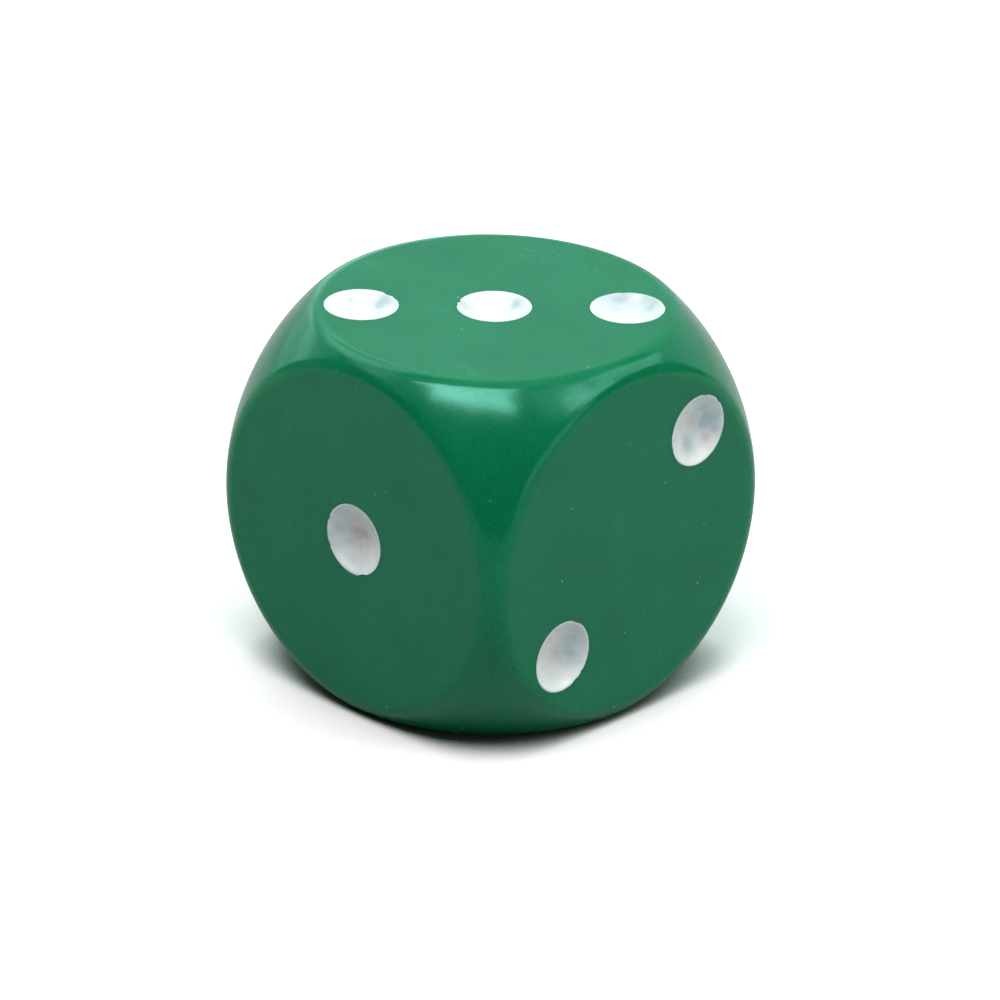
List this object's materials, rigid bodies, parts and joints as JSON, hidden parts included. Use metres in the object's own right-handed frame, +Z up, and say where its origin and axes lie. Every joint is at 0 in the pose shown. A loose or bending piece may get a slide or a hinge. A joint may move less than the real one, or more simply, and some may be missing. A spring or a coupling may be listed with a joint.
{
  "type": "gaming die",
  "caption": "Cube-shaped game die with ball-turned corners, rolled edges and shallow dimples filled with white paint.",
  "frame": {"origin": "centre of the face that the die rests on, the four", "axes": "+Z up, out of the three; -Y is the front, out of the one; +X is the right side, out of the two"},
  "size_m": [0.016, 0.016, 0.016],
  "materials": {
    "green_plastic": "gloss",
    "white_paint": "gloss"
  },
  "bodies": {
    "root": {"die_body": "green_plastic", "pip_paint_one_1": "white_paint", "pip_paint_two_1": "white_paint", "pip_paint_two_2": "white_paint", "pip_paint_three_1": "white_paint", "pip_paint_three_2": "white_paint", "pip_paint_three_3": "white_paint", "pip_paint_four_1": "white_paint", "pip_paint_four_2": "white_paint", "pip_paint_four_3": "white_paint", "pip_paint_four_4": "white_paint", "pip_paint_five_1": "white_paint", "pip_paint_five_2": "white_paint", "pip_paint_five_3": "white_paint", "pip_paint_five_4": "white_paint", "pip_paint_five_5": "white_paint", "pip_paint_six_1": "white_paint", "pip_paint_six_2": "white_paint", "pip_paint_six_3": "white_paint", "pip_paint_six_4": "white_paint", "pip_paint_six_5": "white_paint", "pip_paint_six_6": "white_paint"}
  },
  "joints": []
}
